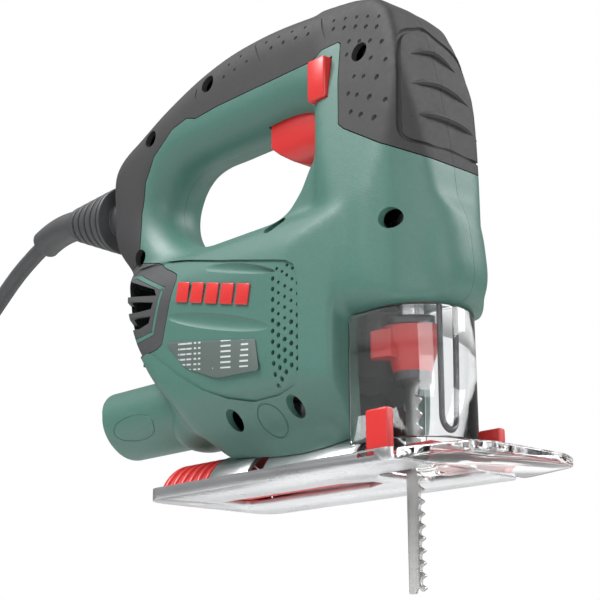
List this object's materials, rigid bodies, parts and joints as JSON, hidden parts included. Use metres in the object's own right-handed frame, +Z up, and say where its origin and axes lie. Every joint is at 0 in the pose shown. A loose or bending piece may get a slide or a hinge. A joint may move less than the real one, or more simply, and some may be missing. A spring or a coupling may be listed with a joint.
{
  "type": "corded jigsaw",
  "caption": "Corded bow-handle jigsaw with a bevelling shoe, reciprocating blade, keyless clamp, clear chip hood, splinter sight and dust tube.",
  "frame": {"origin": "where the blade's centre line crosses the underside plane of the shoe", "axes": "+X in the cutting direction, +Y to the tool's left, +Z up along the blade; the casing splits at y = 0"},
  "size_m": [0.3715, 0.129, 0.2834],
  "materials": {
    "green_case": "satin moulded polyamide, fine spark texture",
    "soft_grip": "dark grey moulded elastomer",
    "red_plastic": "coral red moulded plastic",
    "clear": "clear polycarbonate",
    "zinc_steel": "bright zinc plated sheet steel",
    "blade_steel": "ground carbon steel",
    "bearing_steel": "ground steel",
    "dark_steel": "blackened steel",
    "die_cast": "die cast aluminium",
    "bronze": "sintered bronze",
    "copper": "enamelled copper",
    "core_steel": "laminated electrical steel",
    "black_plastic": "black moulded plastic",
    "cord_rubber": "dark rubber sheath",
    "label_dark": "printed film, blank",
    "carbon": "graphite",
    "screw_steel": "blackened screws"
  },
  "bodies": {
    "tool": {"badge": "red_plastic", "brush_holders": "bronze", "capacitor": "black_plastic", "carbon_brushes": "carbon", "cord_clamp": "black_plastic", "cord_coil": "cord_rubber", "cord_run": "cord_rubber", "cord_tie": "black_plastic", "field_coils": "copper", "foot_block": "die_cast", "front_bearing": "bearing_steel", "gear_axle": "bearing_steel", "gear_plate": "die_cast", "grip_left": "soft_grip", "grip_right": "soft_grip", "housing_left": "green_case", "housing_right": "green_case", "housing_screws": "screw_steel", "lock_block": "dark_steel", "mains_plug": "black_plastic", "plug_pins": "bearing_steel", "plunger_bushes": "bronze", "rating_plate": "label_dark", "rear_bearing": "bearing_steel", "saddle_screw": "dark_steel", "stator": "core_steel", "strain_relief": "soft_grip", "switch": "black_plastic", "trigger_spring": "bearing_steel", "vent_band": "soft_grip", "wire_guard": "dark_steel"},
    "armature": {"armature_shaft": "bearing_steel", "armature_core": "core_steel", "armature_windings": "copper", "commutator": "copper", "fan": "black_plastic", "pinion": "bearing_steel"},
    "gear": {"drive_gear": "bearing_steel", "gear_bush": "bronze", "eccentric_pin": "bearing_steel"},
    "plunger": {"plunger_rod": "bearing_steel", "scotch_yoke": "bearing_steel", "blade_clamp": "dark_steel", "blade": "blade_steel"},
    "collar": {"clamp_collar": "red_plastic"},
    "trigger": {"trigger": "red_plastic"},
    "lock_button": {"lock_button": "red_plastic"},
    "hood": {"clear_hood": "clear"},
    "shoe": {"shoe_plate": "zinc_steel", "saddle": "zinc_steel", "shoe_rivets": "zinc_steel"},
    "bevel_slide": {"bevel_slide": "red_plastic"},
    "sight": {"sight_plate": "clear", "sight_clip": "red_plastic"}
  },
  "joints": [
    {"name": "armature_spin", "type": "hinge", "parent": "tool", "child": "armature", "pos_m": [-0.09, 0, 0.062], "axis": [1, 0, 0], "continuous": true},
    {"name": "gear_spin", "type": "hinge", "parent": "tool", "child": "gear", "pos_m": [-0.02, 0, 0.0872], "axis": [1, 0, 0], "continuous": true},
    {"name": "plunger_stroke", "type": "slide", "parent": "tool", "child": "plunger", "axis": [0, 0, -1], "range_m": [0, 0.02]},
    {"name": "collar_turn", "type": "hinge", "parent": "plunger", "child": "collar", "pos_m": [0, 0, 0.045], "axis": [0, 0, 1], "range_deg": [0, 45], "stiffness_Nm_per_rad": 0.05},
    {"name": "trigger_press", "type": "slide", "parent": "tool", "child": "trigger", "axis": [0, 0, 1], "range_m": [0, 0.005], "stiffness_N_per_m": 900, "springref_m": -0.002, "deforming": ["trigger_spring"]},
    {"name": "lock_button_press", "type": "slide", "parent": "tool", "child": "lock_button", "axis": [0, 1, 0], "range_m": [0, 0.004], "stiffness_N_per_m": 500, "springref_m": -0.001},
    {"name": "hood_pull", "type": "slide", "parent": "tool", "child": "hood", "axis": [1, 0, 0], "range_m": [0, 0.03]},
    {"name": "shoe_bevel", "type": "hinge", "parent": "tool", "child": "shoe", "pos_m": [-0.05, 0, 0], "axis": [1, 0, 0], "range_deg": [-12, 12]},
    {"name": "bevel_slide_pull", "type": "slide", "parent": "shoe", "child": "bevel_slide", "axis": [-1, 0, 0], "range_m": [0, 0.008]},
    {"name": "sight_pull", "type": "slide", "parent": "shoe", "child": "sight", "axis": [1, 0, 0], "range_m": [0, 0.03]}
  ],
  "couplings": [
    {"joint": "gear_spin", "follows": "armature_spin", "ratio": -0.21739}
  ]
}
